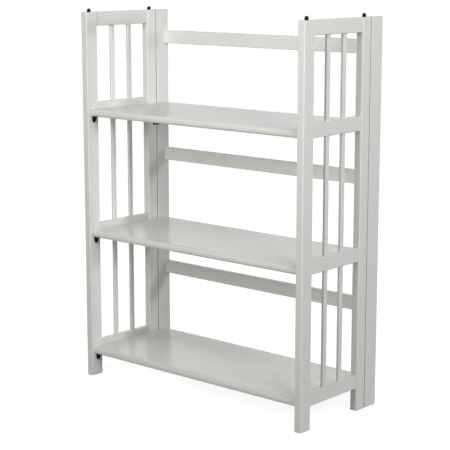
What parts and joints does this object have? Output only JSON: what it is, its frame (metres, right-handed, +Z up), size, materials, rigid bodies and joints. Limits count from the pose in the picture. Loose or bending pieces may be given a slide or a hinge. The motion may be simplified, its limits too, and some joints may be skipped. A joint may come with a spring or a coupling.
{
  "type": "folding bookcase",
  "caption": "Tall open bookcase of painted wood with slatted sides and hinged shelves that turn up against the back; pins on top let it stack.",
  "frame": {"origin": "on the floor, at the middle of the bookcase's footprint", "axes": "+Z up; the front faces -Y; +X to the right as seen from the front"},
  "size_m": [0.7, 0.292, 0.937],
  "materials": {
    "painted_wood": "semi-gloss off-white paint over solid wood",
    "black_plastic": "moulded black plastic",
    "black_steel": "black coated steel",
    "bright_steel": "plain drawn steel"
  },
  "bodies": {
    "frame": {"back_post_left": "painted_wood", "left_front_post": "painted_wood", "left_rear_post": "painted_wood", "left_lower_rail": "painted_wood", "left_middle_rail": "painted_wood", "left_upper_rail": "painted_wood", "left_top_rail": "painted_wood", "left_lower_bay_front_slat": "painted_wood", "left_lower_bay_rear_slat": "painted_wood", "left_middle_bay_front_slat": "painted_wood", "left_middle_bay_rear_slat": "painted_wood", "left_upper_bay_front_slat": "painted_wood", "left_upper_bay_rear_slat": "painted_wood", "left_stacking_pins": "black_plastic", "left_shelf_rests": "black_plastic", "left_lower_hinge_side_leaf": "black_steel", "left_lower_hinge_back_leaf": "black_steel", "left_upper_hinge_side_leaf": "black_steel", "left_upper_hinge_back_leaf": "black_steel", "back_post_right": "painted_wood", "right_front_post": "painted_wood", "right_rear_post": "painted_wood", "right_lower_rail": "painted_wood", "right_middle_rail": "painted_wood", "right_upper_rail": "painted_wood", "right_top_rail": "painted_wood", "right_lower_bay_front_slat": "painted_wood", "right_lower_bay_rear_slat": "painted_wood", "right_middle_bay_front_slat": "painted_wood", "right_middle_bay_rear_slat": "painted_wood", "right_upper_bay_front_slat": "painted_wood", "right_upper_bay_rear_slat": "painted_wood", "right_stacking_pins": "black_plastic", "right_shelf_rests": "black_plastic", "right_lower_hinge_side_leaf": "black_steel", "right_lower_hinge_back_leaf": "black_steel", "right_upper_hinge_side_leaf": "black_steel", "right_upper_hinge_back_leaf": "black_steel", "back_rail_bottom": "painted_wood", "back_rail_middle": "painted_wood", "back_rail_top": "painted_wood"},
    "bottom_shelf_body": {"bottom_shelf": "painted_wood", "bottom_shelf_pivot_pins": "bright_steel"},
    "middle_shelf_body": {"middle_shelf": "painted_wood", "middle_shelf_pivot_pins": "bright_steel"},
    "top_shelf_body": {"top_shelf": "painted_wood", "top_shelf_pivot_pins": "bright_steel"}
  },
  "joints": [
    {"name": "bottom_shelf_fold", "type": "hinge", "parent": "frame", "child": "bottom_shelf_body", "pos_m": [0, 0.112, 0.064], "axis": [-1, 0, 0], "range_deg": [0, 92.8]},
    {"name": "middle_shelf_fold", "type": "hinge", "parent": "frame", "child": "middle_shelf_body", "pos_m": [0, 0.112, 0.3715], "axis": [-1, 0, 0], "range_deg": [0, 92.8]},
    {"name": "top_shelf_fold", "type": "hinge", "parent": "frame", "child": "top_shelf_body", "pos_m": [0, 0.112, 0.679], "axis": [-1, 0, 0], "range_deg": [0, 92.8]}
  ]
}
